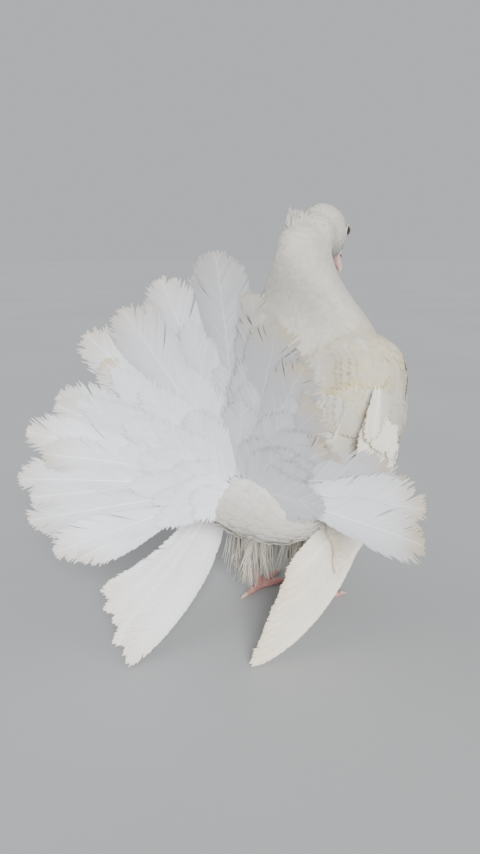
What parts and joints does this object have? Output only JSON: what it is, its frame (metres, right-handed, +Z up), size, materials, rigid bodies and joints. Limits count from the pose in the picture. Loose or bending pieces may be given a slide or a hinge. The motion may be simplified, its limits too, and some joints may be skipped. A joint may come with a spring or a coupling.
{
  "type": "fantail pigeon model",
  "caption": "Still model of a white fantail pigeon standing with raised, spread tail, lowered wings, peaked crest and feathered legs.",
  "frame": {"origin": "centre of the bird's footprint box on the floor, level with the soles", "axes": "the bird faces -Y, its left side is +X and up is +Z"},
  "size_m": [0.2294, 0.2382, 0.2697],
  "materials": {
    "feather": "soft white body feathers",
    "flight": "smooth white flight feathers",
    "leg": "scaly pink skin",
    "bill": "satin horn",
    "eye": "wet gloss, nearly black",
    "claw": "satin horn"
  },
  "bodies": {
    "root": {"torso": "feather", "neck": "feather", "head": "feather", "eye_left": "eye", "eye_right": "eye", "bill_upper": "bill", "bill_lower": "bill", "tail": "flight", "wing_left": "flight", "wing_right": "flight", "leg_left": "leg", "leg_right": "leg", "claw_left_inner": "claw", "claw_left_middle": "claw", "claw_left_outer": "claw", "claw_left_hind": "claw", "claw_right_inner": "claw", "claw_right_middle": "claw", "claw_right_outer": "claw", "claw_right_hind": "claw"}
  },
  "joints": []
}
